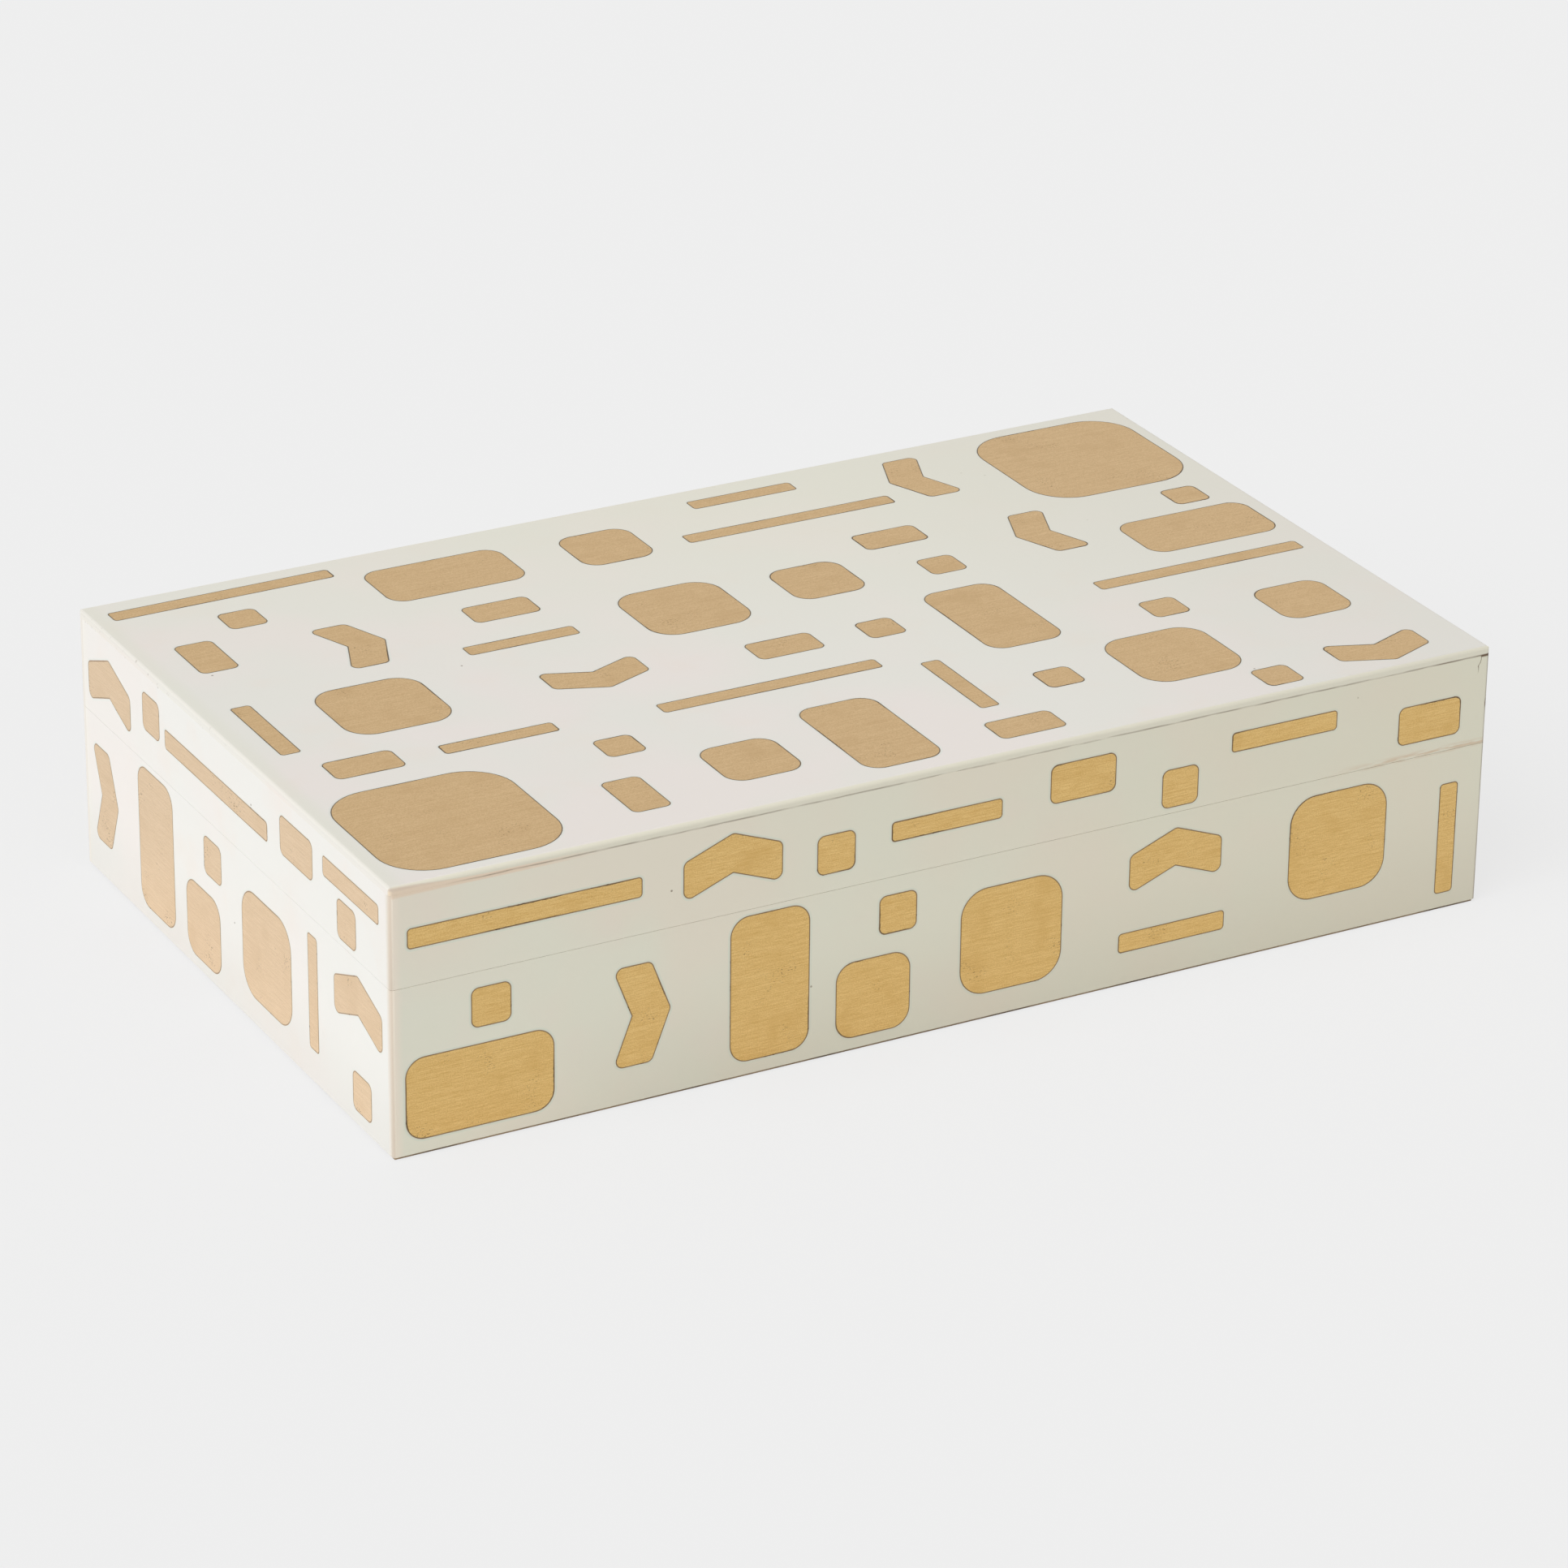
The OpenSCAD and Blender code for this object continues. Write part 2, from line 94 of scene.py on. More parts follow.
def plane_of(face):
    """Names the plane that a face lies in, to a hundredth of a millimetre."""
    way = [round(part, 3) for part in face.normal]
    return (*way, round(face.normal.dot(face.verts[0].co) / PLANE_STEP))


trial = welded("lid_front_sheet")
print("lid_front_sheet:", len(trial.faces), "whole faces")
trial.free()

# %% [markdown]
# ## A margin, and eased edges
# No edge of a handmade piece is razor sharp, and a tiny round is what catches the light along it.
# Bevel makes one, but it slides its new points along whatever edge it meets. A level face with
# pockets is still in several parts, and where the joint between two parts meets an outline at a
# slant, a point slides far and the face tears. So each such face first gets a margin: it is inset a
# little, and what is inside the margin is filled afresh. Then only short square spokes meet the
# outline, and the bevel stays true.

# %% Margins and eased edges
def margin(shell, faces, width):
    """Insets a level face, fills its inside afresh and returns the points inside the margin."""
    bmesh.ops.inset_region(
        shell, faces=faces, thickness=width, use_boundary=True, use_even_offset=True
    )
    inner, way = set(faces), faces[0].normal.copy()
    edges = {edge for face in faces for edge in face.edges}
    outline = [edge for edge in edges if sum(face in inner for face in edge.link_faces) == 1]
    inside = {point for edge in outline for point in edge.verts}
    if len(faces) > 1:
        bmesh.ops.delete(shell, geom=faces, context="FACES_ONLY")
        bmesh.ops.delete(shell, geom=list(edges.difference(outline)), context="EDGES")
        filled = bmesh.ops.triangle_fill(shell, use_beauty=True, edges=outline, normal=way)["geom"]
        turned = [
            part for part in filled
            if isinstance(part, bmesh.types.BMFace) and part.normal.dot(way) < 0
        ]
        bmesh.ops.reverse_faces(shell, faces=turned)
    return inside


def in_parts(faces):
    """Those of the faces of one plane that share an edge with another of them."""
    kept = set(faces)
    return [
        face for face in faces
        if any(other != face and other in kept for edge in face.edges for other in edge.link_faces)
    ]


def ease(shell, width, segments=2, margined=None):
    """Rounds every sharp edge a little. The plane named margined has its margin already."""
    planes = {}
    for face in shell.faces:
        planes.setdefault(plane_of(face), []).append(face)
    for plane, faces in planes.items():
        parts = in_parts(faces)
        if parts and plane != margined:
            margin(shell, parts, 2 * width)
    sharp = [edge for edge in shell.edges if edge.calc_face_angle(0.0) > CORNER]
    bmesh.ops.bevel(
        shell, geom=sharp, offset=width, offset_type="OFFSET", segments=segments,
        profile=0.5, affect="EDGES", clamp_overlap=True, material=-1,
    )


trial = welded("lid_front_sheet")
ease(trial, 0.1 * MM)
print("lid_front_sheet with a margin and eased edges:", len(trial.faces), "faces")
trial.free()

# %% [markdown]
# ## Knowing where an edge is
# Dirt, glue and wear gather at edges, so a finish has to know how near one is. The margin of the
# shown face does this as well: each point carries a number named rim, 1 on the edge and 0 inside
# the margin. The renderer blends the number across the margin, and a material reads it by name. A
# painted map would do the same, but it needs an unwrapped surface, while this follows any outline
# by itself.

# %% Find the shown face and mark its rim
SQUARE_ON = 0.9999
OUTERMOST = 0.05 * MM


def facing(shell, out):
    """The flat faces that lie outermost in the direction out."""
    reach = max(point.co.dot(out) for point in shell.verts)
    return [
        face for face in shell.faces
        if face.normal.dot(out) > SQUARE_ON
        and reach - face.calc_center_median().dot(out) < OUTERMOST
    ]


def mark_rim(shell, inside, on_edge):
    """Stores rim: 1 where on_edge says so and 0 elsewhere and inside the margin."""
    rim = shell.verts.layers.float["rim"]
    for point in shell.verts:
        point[rim] = float(point not in inside and on_edge(point))


trial = welded("lid_top_inlays")
print("brass faces to be seen on the top:", len(facing(trial, Vector((0, 0, 1)))))
trial.free()

# %% [markdown]
# ## Handing a piece to the frame
# A finished piece becomes an object at the origin whose place is in its mesh. Flat faces stay flat
# and everything rounded is shaded smooth, with a break at sharp edges, so a large level face shows
# no false gradient. Then it is tied to the body it rides on, and the solid it replaces is hidden.

# %% Turn a shell into a piece of the box
def shade(shell):
    """Level faces flat, rounds smooth, sharp edges kept."""
    for face in shell.faces:
        face.smooth = max(abs(part) for part in face.normal) < SQUARE_ON
    for edge in shell.edges:
        edge.smooth = edge.calc_face_angle(0.0) < CORNER


def as_object(shell, name, finish):
    """An object at the origin made of the shell, with one finish."""
    mesh = bpy.data.meshes.new(name)
    shell.to_mesh(mesh)
    shell.free()
    mesh.materials.append(finish)
    thing = bpy.data.objects.new(name, mesh)
    bpy.context.scene.collection.objects.link(thing)
    return thing


def add_piece(shell, name, body, finish, node=None):
    """Makes an object of the shell, dresses it and ties it to the frame."""
    shade(shell)
    piece = as_object(shell, name, finish)
    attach(piece, body)
    if node:
        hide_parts(node)
    piece.data.calc_loop_triangles()
    print(f"{name}: {len(piece.data.loop_triangles)} triangles, rides on {body}")
    return piece


# %% [markdown]
# ## Shader sums written as sums
# A finish is mostly arithmetic on noises and masks. Wrapping a socket in a small class lets
# Python's own operators add the Math nodes, so a formula reads as it would on paper. Colours go
# through Mix, and every other node comes from one method.

# %% A wire that can be added, multiplied and clamped
class Wire:
    """One output socket. Arithmetic on wires adds Math nodes to the same recipe."""

    def __init__(self, recipe, socket):
        self.recipe, self.socket = recipe, socket

    def math(self, operation, first, second=0.0, clamp=False):
        settings = {"operation": operation, "use_clamp": clamp}
        return self.recipe.node("Math", settings, {0: first, 1: second})

    def __add__(self, other):
        return self.math("ADD", self, other)

    def __sub__(self, other):
        return self.math("SUBTRACT", self, other)

    def __rsub__(self, other):
        return self.math("SUBTRACT", other, self)

    def __mul__(self, other):
        return self.math("MULTIPLY", self, other)

    def __truediv__(self, other):
        return self.math("DIVIDE", self, other)

    def __pow__(self, other):
        return self.math("POWER", self, other)

    def __abs__(self):
        return self.math("ABSOLUTE", self)

    __radd__, __rmul__ = __add__, __mul__

    def clamp(self):
        return self.math("ADD", self, 0.0, clamp=True)

    def rise(self, low, high):
        """0 below low, 1 above high and a soft step between."""
        span = {"Value": self, "From Min": low, "From Max": high}
        return self.recipe.node("MapRange", {"interpolation_type": "SMOOTHSTEP"}, span)

    def near(self, centre, reach):
        """1 at centre, falling to 0 at reach on either side."""
        return (1 - abs(self - centre) / reach).clamp()


# %% A recipe that adds nodes to one material
class Recipe:
    """A material in the making."""

    def __init__(self, owner):
        owner.use_nodes = True
        self.owner, self.tree = owner, owner.node_tree
        self.tree.nodes.clear()

    def node(self, kind, settings=None, sockets=None, out=0):
        made = self.tree.nodes.new("ShaderNode" + kind)
        for key, value in (settings or {}).items():
            setattr(made, key, value)
        for key, value in (sockets or {}).items():
            if isinstance(value, Wire):
                self.tree.links.new(value.socket, made.inputs[key])
            else:
                made.inputs[key].default_value = value
        return Wire(self, made.outputs[out]) if made.outputs else None

    def mix(self, first, second, factor):
        """A colour between two colours. The node has its colours at 6, 7 and output 2."""
        return self.node("Mix", {"data_type": "RGBA"}, {0: factor, 6: first, 7: second}, out=2)

    def place(self):
        """Where a point is on the piece, in metres."""
        return self.node("TexCoord", out="Object")

    def axes(self, place):
        """The three parts of a place."""
        split = self.node("SeparateXYZ", sockets={0: place})
        outputs = split.socket.node.outputs
        return [Wire(self, outputs[axis]) for axis in "XYZ"]

    def noise(self, place, size, detail=2.0, seed=0.0):
        """Noise whose features are size wide, in metres: one length, or one for each axis."""
        sizes = size if isinstance(size, tuple) else (size, size, size)
        scale = tuple(1 / part for part in sizes)
        moved = {"Vector": place, "Scale": scale, "Location": (seed, seed, seed)}
        turned = self.node("Mapping", sockets=moved)
        return self.node("TexNoise", sockets={"Vector": turned, "Scale": 1.0, "Detail": detail})

    def rim(self):
        """The number that mark_rim() stored."""
        return self.node("Attribute", {"attribute_name": "rim"}, out="Fac")

    def bump(self, height, depth):
        """Surface relief: height runs from 0 to 1, and depth is how deep 1 is, in metres."""
        relief = {"Height": height, "Distance": depth, "Strength": 1.0}
        return self.node("Bump", sockets=relief, out="Normal")

    def surface(self, **sockets):
        """The shader itself, from values and wires for its sockets."""
        named = {name.replace("_", " "): value for name, value in sockets.items()}
        shader = self.node("BsdfPrincipled", sockets=named)
        self.node("OutputMaterial", sockets={"Surface": shader})
        return self.owner


def recipe(name):
    return Recipe(bpy.data.materials.new(name))


def paint(red, green, blue):
    """A colour given in 0 to 255, as the linear values that a shader works in."""
    linear = []
    for part in (red / 255, green / 255, blue / 255):
        linear.append(part / 12.92 if part < 0.04045 else ((part + 0.055) / 1.055) ** 2.4)
    return (*linear, 1.0)


def stretched(along, length, width):
    """The sizes of a noise that is drawn out along axis 0 or 1."""
    sizes = [width, width, width]
    sizes[along] = length
    return tuple(sizes)


print("ivory as a shader sees it:", [round(part, 3) for part in paint(227, 226, 216)])

# %% [markdown]
# ## The wooden core
# Each half of the core is four mitred boards, planed hardwood stained a warm brown, with a board
# glued in as its floor or top. It shows only when the lid is up: the 8 mm rims with their mitres,
# the hinge mortises and the inner faces. Grain runs along a board, so the noise that draws it is
# stretched along X on the long boards and along Y on the short ones. Real pores are short dark
# dashes in the same direction.

# %% Stained hardwood
def stained_wood(name, along):
    """Hardwood whose grain runs along axis 0 or 1."""
    r = recipe(name)
    place = r.place()
    figure = r.noise(place, stretched(along, 0.11, 0.006), detail=4.0)
    rays = r.noise(place, stretched(along, 0.03, 0.0011), detail=2.0, seed=3.0)
    pores = r.noise(place, stretched(along, 0.004, 0.00028), detail=1.0, seed=7.0).rise(0.60, 0.72)
    colour = r.mix(paint(112, 72, 42), paint(160, 112, 70), figure.rise(0.32, 0.68))
    colour = r.mix(colour, paint(136, 92, 56), rays.rise(0.35, 0.75) * 0.5)
    colour = r.mix(colour, paint(70, 44, 26), pores * 0.7)
    height = figure * 0.4 + rays * 0.3 - pores * 0.6 + 0.5
    rough = 0.46 + pores * 0.25 + rays * 0.1
    return r.surface(Base_Color=colour, Roughness=rough, Normal=r.bump(height, 0.00005))


wood_long = stained_wood("core_wood_long_grain", along=0)
wood_short = stained_wood("core_wood_cross_grain", along=1)
print("wood finishes:", wood_long.name, wood_short.name)

# %% The eight walls and two boards
WOOD_EASE = 0.18 * MM

for node in sorted(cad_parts):
    if node.endswith(("_wall", "_board")):
        shell = welded(node)
        ease(shell, WOOD_EASE)
        grain = wood_short if "left" in node or "right" in node else wood_long
        add_piece(shell, node + "_wood", node.split("_")[0], grain, node)

# %% [markdown]
# ## The ivory resin
# The sheets are cast resin, 2 mm thick, polished to a soft gloss. Cast resin is never one colour:
# it clouds faintly pink and green over a few centimetres, it turns a little cooler where it was cut
# back to the brass, and air bubbles that the sanding opened fill with polish and stay as dark pin
# specks. All the sheets are one resin, but the front sheets are painted a little deeper in tone than
# the top and the end sheets a little paler: this is painted light, for how each face is lit. So the
# recipe takes its colours as values. Each face is worn, and has light and shade painted on it, in
# its own way as well, which is a function of its own.

# %% Cast resin
def cast_resin(name, body, cloud, halo, wear_and_light):
    """Ivory resin that drifts from body to cloud, with a halo at its pockets, its own wear and
    painted light.
    """
    r = recipe(name)
    place = r.place()
    drift = r.noise(place, 0.045, detail=2.0)
    patches = r.noise(place, 0.016, detail=3.0, seed=5.0)
    colour = r.mix(body, cloud, drift.rise(0.38, 0.64))
    colour = r.mix(colour, paint(232, 218, 206), patches.rise(0.52, 0.74) * 0.22)
    colour = r.mix(colour, halo, r.rim() ** 0.6 * (0.7 + drift * 0.5))

    bubbles = r.node("TexVoronoi", sockets={"Vector": place, "Scale": 1 / 0.013}, out="Distance")
    specks = 1 - bubbles.rise(0.016, 0.028)
    colour = r.mix(colour, paint(120, 104, 86), specks * 0.8)
    colour, dirt = wear_and_light(r, place, colour)

    swell = r.noise(place, 0.030, detail=1.0, seed=2.0)
    fine = r.noise(place, 0.0006, detail=2.0, seed=4.0)
    height = swell * 0.9 + fine * 0.02 - specks * 0.3 - dirt * 0.2
    rough = 0.34 + patches * 0.10 + dirt * 0.3 + fine * 0.04
    return r.surface(Base_Color=colour, Roughness=rough, Normal=r.bump(height, 0.00008))


# %% [markdown]
# ## How each face is worn, and the light painted on it
# Wear tells what a hand and a cloth have done. Polish and dirt stay as a ragged brown hairline in
# the joint under the top sheet, darkest at the right, where the corner has a fine crack and a small
# chip. At the left the edge of the top sheet has turned a soft pink. The front has a painted
# highlight beside the standing corner at the left, and the rounds there, where the lamp falls
# strongest, are painted darker as painted shade. A tan smear follows the lid's joint at the right
# end. The top is yellower towards the back right and darker to the right, the front is darker to the
# right and downwards, and the ends are darker downwards. All of it is drawn by distance: a mask is 1
# at a named height or length and falls off over a fraction of a millimetre, broken up by stretched
# noise.

# %% Where the joints are, and the dirt in them
BOX_X, BOX_Y, BOX_Z = cad_box[1][0], -cad_box[0][1], cad_box[1][2]
SHEET = 2.0 * MM
JOINT_TOP = BOX_Z - SHEET
JOINT_LID = 44.1 * MM
CHIP_UP = 54.8 * MM
DIRT = paint(104, 82, 62)
TAN = paint(206, 180, 150)
BLUSH = paint(229, 210, 187)
CORNER_HIGHLIGHT = paint(238, 226, 209)


def joint_line(r, place, x, z):
    """The ragged hairline along the joint under the top sheet, darkest at the right end."""
    ragged = r.noise(place, (0.007, 0.007, 0.0005), detail=3.0, seed=11.0).rise(0.32, 0.62)
    started = x.rise(-BOX_X + 12 * MM, -BOX_X + 27 * MM)
    cleaner = x.near(15 * MM, 45 * MM) * 0.25
    corner = x.rise(BOX_X - 24 * MM, BOX_X) * 0.5
    amount = (0.12 + ragged * 0.58 - cleaner).clamp() * started + corner
    return z.near(JOINT_TOP, 0.32 * MM) * amount


def blush_strip(x, z):
    """A soft band over the joint at the left end, which narrows and then fades to the right."""
    along = x.rise(-BOX_X, -BOX_X + 28 * MM)
    slender = (along * 0.55 + 0.60) / MM
    middle = JOINT_TOP + 0.5 * MM - along * 0.6 * MM
    faded = 1 - x.rise(-BOX_X + 30 * MM, -BOX_X + 58 * MM)
    return (1 - (abs(z - middle) * slender).rise(0.55, 1.0)) * faded


def crumbs_of_polish(r, place):
    """Small ragged crumbs of old polish."""
    return r.noise(place, 0.0013, detail=3.0, seed=33.0).rise(0.62, 0.70)


print("joints:", [round(level / MM, 2) for level in (JOINT_LID, JOINT_TOP)], "mm up")


# %% Wear of the front
def right_corner_dirt(r, place, x, z):
    """The crack, the dark lip, the chip and the grime at the right end of the front."""
    wander = r.noise(place, 0.0022, detail=2.0, seed=31.0) * 1.6 * MM
    path = (z - JOINT_TOP) * 0.25 + BOX_X - 3.2 * MM + wander
    crack = x.near(path, 0.16 * MM) * z.rise(JOINT_TOP - 5.2 * MM, JOINT_TOP - 3.4 * MM)
    lip = z.near(JOINT_TOP - 0.3 * MM, 0.4 * MM) * x.rise(BOX_X - 3.0 * MM, BOX_X - 2.2 * MM)
    rubbed = x.rise(BOX_X - 0.9 * MM, BOX_X - 0.4 * MM)
    chip = z.near(CHIP_UP, 1.5 * MM) * rubbed
    grime = r.noise(place, (0.002, 0.002, 0.009), detail=3.0, seed=14.0).rise(0.30, 0.65)
    return crack + lip + chip + rubbed * (0.25 + grime * 0.3)


def front_tone_and_light(r, colour, x, y, z, ahead):
    """The front's tone, darker to the right and down, with painted highlight and shade at the left
    corner.
    """
    rightward_tone = x.rise(-BOX_X, BOX_X)
    colour = r.mix(colour, paint(218, 213, 190), rightward_tone * 0.5)
    low = (1 - z.rise(0, 36 * MM)) * x.rise(-130 * MM, -70 * MM)
    colour = r.mix(colour, paint(198, 192, 174), low * 0.35)
    left = 0 - x
    # A painted highlight: a pale band on the front beside the left corner, for light falling round
    # it.
    colour = r.mix(colour, CORNER_HIGHLIGHT, left.rise(BOX_X - 3.4 * MM, BOX_X - 0.8 * MM) * ahead * 0.8)
    colour = r.mix(colour, BLUSH, blush_strip(x, z) * ahead)
    # Painted shade: the left round and the cut ends are darker towards the front corner, where the
    # lamp falls strongest.
    shaded_round = left.rise(BOX_X - 0.9 * MM, BOX_X - 0.3 * MM)
    end = (abs(x).rise(BOX_X - 0.06 * MM, BOX_X - 0.02 * MM) + shaded_round).clamp()
    forward = (0 - y).rise(BOX_Y - 1.9 * MM, BOX_Y - 0.1 * MM)
    return r.mix(colour, r.mix(paint(226, 221, 212), paint(208, 194, 177), forward), end)


def front_wear_and_light(r, place, colour):
    """The front's tone, painted highlight and shade, the tan smear, hairline and dirt at the right.
    """
    x, y, z = r.axes(place)
    skin = abs(y).rise(BOX_Y - 0.7 * MM, BOX_Y - 0.3 * MM)
    ahead = (0 - y).rise(BOX_Y - 2 * MM, BOX_Y - 1 * MM)
    colour = front_tone_and_light(r, colour, x, y, z, ahead)
    streaked = r.noise(place, (0.006, 0.006, 0.0008), detail=3.0, seed=12.0)
    smear = z.near(JOINT_LID + 0.5 * MM, 1.3 * MM) * x.rise(BOX_X - 52 * MM, BOX_X - 22 * MM)
    colour = r.mix(colour, TAN, smear * ahead * streaked.rise(0.40, 0.58) * 0.8)
    dirt = (joint_line(r, place, x, z) * skin + right_corner_dirt(r, place, x, z) * ahead).clamp()
    return r.mix(colour, DIRT, dirt), dirt


# %% Wear of the ends and the top
def end_wear(r, place, colour):
    """Crumbs along the top, a creamier strip at the back and a darker tone low down."""
    x, y, z = r.axes(place)
    crumbs = crumbs_of_polish(r, place)
    dirt = z.near(JOINT_TOP, 0.4 * MM) * crumbs * y.rise(-20 * MM, 50 * MM) * 0.5
    colour = r.mix(colour, paint(236, 232, 220), y.rise(BOX_Y - 6 * MM, BOX_Y - 1 * MM) * 0.4)
    colour = r.mix(colour, paint(206, 204, 198), (1 - z.rise(0, 26 * MM)) * 0.4)
    return r.mix(colour, DIRT, dirt), dirt


def top_wear_and_light(r, place, colour):
    """Back-right tone, edges in the tone below, painted shade on left rounds, pink strip, hairline,
    crumbs.
    """
    x, y, z = r.axes(place)
    rightward_tone = (x * 0.5 + y).rise(-60 * MM, 130 * MM)
    colour = r.mix(colour, paint(221, 219, 201), rightward_tone * 0.7)
    colour = r.mix(colour, paint(210, 206, 200), x.rise(20 * MM, BOX_X) * 0.3)
    # The front and back edges take the front's tone, and with it the light painted into that tone.
    brow = abs(y).rise(BOX_Y - 1.0 * MM, BOX_Y - 0.4 * MM)
    colour = r.mix(colour, paint(223, 219, 201), brow)
    ahead = (0 - y).rise(BOX_Y - 0.9 * MM, BOX_Y - 0.3 * MM)
    left = 0 - x
    cream = left.rise(BOX_X - 6 * MM, BOX_X - 2 * MM) * z.rise(BOX_Z - 0.6 * MM, BOX_Z - 0.1 * MM)
    colour = r.mix(colour, paint(222, 221, 206), cream * 0.5)
    upper = z.rise(JOINT_TOP + 0.7 * MM, JOINT_TOP + 1.5 * MM)
    # Painted shade on the round at the left, where the lamp falls strongest.
    left_round_shade = left.rise(BOX_X - 1.0 * MM, BOX_X - 0.5 * MM)
    colour = r.mix(colour, paint(219, 216, 208), left_round_shade * upper * 0.7)
    # The pink strip, with painted shade on its upper round, where the lamp falls strongest.
    colour = r.mix(colour, r.mix(BLUSH, paint(206, 190, 172), upper), blush_strip(x, z) * ahead)
    crumbs = crumbs_of_polish(r, place) * z.near(JOINT_TOP + 1.0 * MM, 1.3 * MM)
    rubbed = left.rise(BOX_X - 0.8 * MM, BOX_X - 0.3 * MM) * y.rise(-20 * MM, 50 * MM)
    dirt = (joint_line(r, place, x, z) * brow + crumbs * rubbed * 0.5).clamp()
    return r.mix(colour, DIRT, dirt), dirt


# %% Three ivories
# One resin in three tones: the front's deeper, yellower tone and the ends' paler one are painted
# light for how each face is lit.
RESIN_TONES = {
    "top": (paint(226, 224, 216), paint(230, 223, 217), paint(221, 222, 215), top_wear_and_light),
    "front": (paint(226, 225, 208), paint(229, 222, 205), paint(213, 219, 204), front_wear_and_light),
    "end": (paint(229, 228, 223), paint(231, 226, 221), paint(224, 226, 220), end_wear),
}
resin = {face: cast_resin("resin_" + face, *tones) for face, tones in RESIN_TONES.items()}
print("resin finishes:", sorted(resin))

# %% [markdown]
# ## The nine resin sheets
# The pockets are already in the sheets. What the real ones have besides is a tiny round on every
# cut edge, from sanding, which is what makes the joint between two sheets show as a fine line. The
# CAD leaves 0.2 mm between the rims for the hinges, and on the real box the lid's resin all but
# meets the base's, so its lower edge comes down by most of that. The shown face gets its margin,
# and with it the rim number.

# %% The sheets
OUTWARD = {
    "top": Vector((0, 0, 1)), "front": Vector((0, -1, 0)), "right": Vector((1, 0, 0)),
    "back": Vector((0, 1, 0)), "left": Vector((-1, 0, 0)),
}
FINISH_OF = {"top": "top", "front": "front", "back": "front", "left": "end", "right": "end"}
SHEET_EASE = 0.04 * MM
LID_RIM = 44.2 * MM
SNUG = 0.13 * MM
HALO = 0.55 * MM
NEAR_BRASS = 0.6 * MM


def distance_to(places):
    """A function that tells how far a place is from the nearest of the given ones."""
    tree = kdtree.KDTree(len(places))
    for index, place in enumerate(places):
        tree.insert(place, index)
    tree.balance()
    return lambda place: tree.find(place)[2]


def beside_brass(node):
    """A test of whether a point lies at a pocket's edge, next to a brass piece."""
    distance = distance_to([vertex.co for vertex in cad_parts[node].data.vertices])
    return lambda point: distance(point.co) < NEAR_BRASS


sides = [
    (body, side) for body in ("base", "lid") for side in OUTWARD
    if f"{body}_{side}_sheet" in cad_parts
]
for body, side in sides:
    node = f"{body}_{side}_sheet"
    shell = welded(node)
    if body == "lid":
        lower_edge = [point for point in shell.verts if abs(point.co.z - LID_RIM) < WELD]
        bmesh.ops.translate(shell, verts=lower_edge, vec=(0, 0, -SNUG))
    shown = facing(shell, OUTWARD[side])
    level = plane_of(shown[0])
    inside = margin(shell, shown, HALO)
    ease(shell, SHEET_EASE, margined=level)
    mark_rim(shell, inside, beside_brass(f"{body}_{side}_inlays"))
    add_piece(shell, f"{body}_{side}_resin", body, resin[FINISH_OF[side]], node)

# %% [markdown]
# ## Sanded brass
# The brass is cut from sheet, glued into its pocket and sanded with the resin, so its face is
# level, brushed in one direction and not mirror-bright. Long thin noise stands for the brushing.
# Broad, weak blotches are where polish was handled, small dark pits sit in loose clusters, and here
# and there the edge is black where the glue did not quite fill. Dirt isn't metal, so it lowers
# Metallic as well.

# %% Brushed brass
HOLLOW = paint(66, 48, 32)
OUTLINE = {"top": paint(84, 72, 54), "front": paint(120, 94, 62), "end": paint(160, 132, 100)}


def brushed_brass(name, bright, deep, outline, along, blackened):
    """Brass brushed along axis 0 or 1. Its edge is black in places, as much as blackened says."""
    r = recipe(name)
    place = r.place()
    strokes = r.noise(place, stretched(along, 0.0160, 0.00026), detail=2.0)
    hairs = r.noise(place, stretched(along, 0.0030, 0.00014), detail=2.0, seed=3.0)
    grain = r.noise(place, 0.00030, detail=2.0, seed=25.0)
    blotches = r.noise(place, 0.009, detail=4.0, seed=9.0)
    clusters = r.noise(place, 0.010, detail=2.0, seed=21.0).rise(0.56, 0.70)
    dots = r.noise(place, stretched(along, 0.0006, 0.00035), detail=1.0, seed=13.0)
    pits = dots.rise(0.60, 0.70) * clusters

    colour = r.mix(deep, bright, (strokes * 0.25 + hairs * 0.35 + grain * 0.4).rise(0.36, 0.64))
    colour = r.mix(colour, deep, blotches.rise(0.50, 0.74) * 0.45)
    colour = r.mix(colour, paint(112, 82, 46), pits * 0.6)

    ragged = r.noise(place, 0.0011, detail=3.0, seed=17.0)
    weak_glue = r.noise(place, 0.016, detail=1.0, seed=29.0).rise(0.54, 0.66)
    rim = r.rim()
    black = (rim + ragged * 0.9 - 1.0).rise(0.0, 0.30) * weak_glue * blackened
    colour = r.mix(colour, outline, rim.rise(0.80, 0.98) * 0.7)
    colour = r.mix(colour, HOLLOW, black * 0.85)

    height = strokes * 0.25 + hairs * 0.3 + grain * 0.1 - pits * 0.8 - black * 0.6
    rough = 0.36 + hairs * 0.12 + pits * 0.3 + black * 0.3
    metal = (1 - pits * 0.5 - black * 0.8).clamp()
    relief = r.bump(height, 0.000005)
    return r.surface(Base_Color=colour, Metallic=metal, Roughness=rough, Normal=relief)


# One brass in three tones: the front's more golden and the ends' paler are painted light and painted
# reflection for how each face is lit.
BRASS_TONES = {
    "top": (paint(225, 194, 147), paint(204, 170, 120), OUTLINE["top"], 0, 1.0),
    "front": (paint(235, 202, 138), paint(210, 171, 103), OUTLINE["front"], 0, 1.0),
    "end": (paint(250, 225, 193), paint(234, 206, 169), OUTLINE["end"], 1, 0.4),
}
brass = {face: brushed_brass("inlay_brass_" + face, *tones) for face, tones in BRASS_TONES.items()}
print("brass finishes:", sorted(brass))

